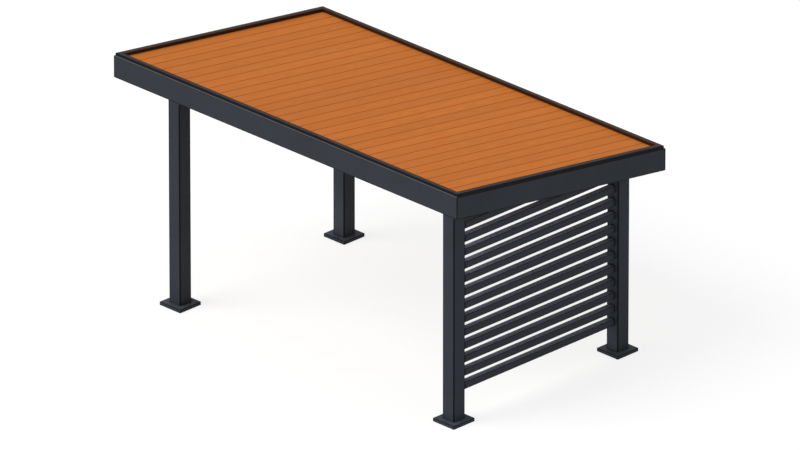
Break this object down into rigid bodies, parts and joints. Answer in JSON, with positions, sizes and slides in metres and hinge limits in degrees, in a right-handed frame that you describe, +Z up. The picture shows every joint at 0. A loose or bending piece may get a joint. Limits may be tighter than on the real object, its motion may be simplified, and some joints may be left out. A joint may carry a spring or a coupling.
{
  "type": "lean-to patio cover",
  "caption": "Free-standing steel patio cover with a sloping plank roof inside a folded fascia, square posts on covered base plates, and a screen of horizontal slats at one end.",
  "frame": {"origin": "on the ground, at the middle of the overall box", "axes": "+X along the roof towards the slatted end, +Y from the high front to the low rear, +Z up"},
  "size_m": [5.0918, 3.1488, 2.6434],
  "materials": {
    "frame_paint": "fine satin charcoal powder coat",
    "screen_paint": "fine satin charcoal powder coat",
    "cover_paint": "fine satin charcoal powder coat",
    "rim_paint": "darker satin charcoal powder coat",
    "plate_zinc": "zinc-rich primer, matt",
    "deck_wood": "oiled softwood planks, satin"
  },
  "bodies": {
    "root": {"post_front_left": "frame_paint", "post_front_right": "frame_paint", "post_rear_left": "frame_paint", "post_rear_right": "frame_paint", "post_cap_front_left": "frame_paint", "post_cap_front_right": "frame_paint", "post_cap_rear_left": "frame_paint", "post_cap_rear_right": "frame_paint", "base_plate_front_left": "plate_zinc", "base_plate_front_right": "plate_zinc", "base_plate_rear_left": "plate_zinc", "base_plate_rear_right": "plate_zinc", "base_cover_front_left": "cover_paint", "base_cover_front_right": "cover_paint", "base_cover_rear_left": "cover_paint", "base_cover_rear_right": "cover_paint", "front_beam": "frame_paint", "rear_beam": "frame_paint", "left_beam": "frame_paint", "right_beam": "frame_paint", "front_rim": "rim_paint", "rear_rim": "rim_paint", "left_rim": "rim_paint", "right_rim": "rim_paint", "rafter_left": "frame_paint", "rafter_middle": "frame_paint", "rafter_right": "frame_paint", "rafter_packers": "plate_zinc", "purlin_1_left": "frame_paint", "purlin_1_middle": "frame_paint", "purlin_1_right": "frame_paint", "purlin_2_left": "frame_paint", "purlin_2_middle": "frame_paint", "purlin_2_right": "frame_paint", "purlin_3_left": "frame_paint", "purlin_3_middle": "frame_paint", "purlin_3_right": "frame_paint", "purlin_4_left": "frame_paint", "purlin_4_middle": "frame_paint", "purlin_4_right": "frame_paint", "deck_boards_left": "deck_wood", "deck_boards_middle": "deck_wood", "deck_boards_right": "deck_wood", "slat_01": "screen_paint", "slat_02": "screen_paint", "slat_03": "screen_paint", "slat_04": "screen_paint", "slat_05": "screen_paint", "slat_06": "screen_paint", "slat_07": "screen_paint", "slat_08": "screen_paint", "slat_09": "screen_paint", "slat_10": "screen_paint", "slat_11": "screen_paint", "slat_12": "screen_paint", "slat_13": "screen_paint"}
  },
  "joints": []
}
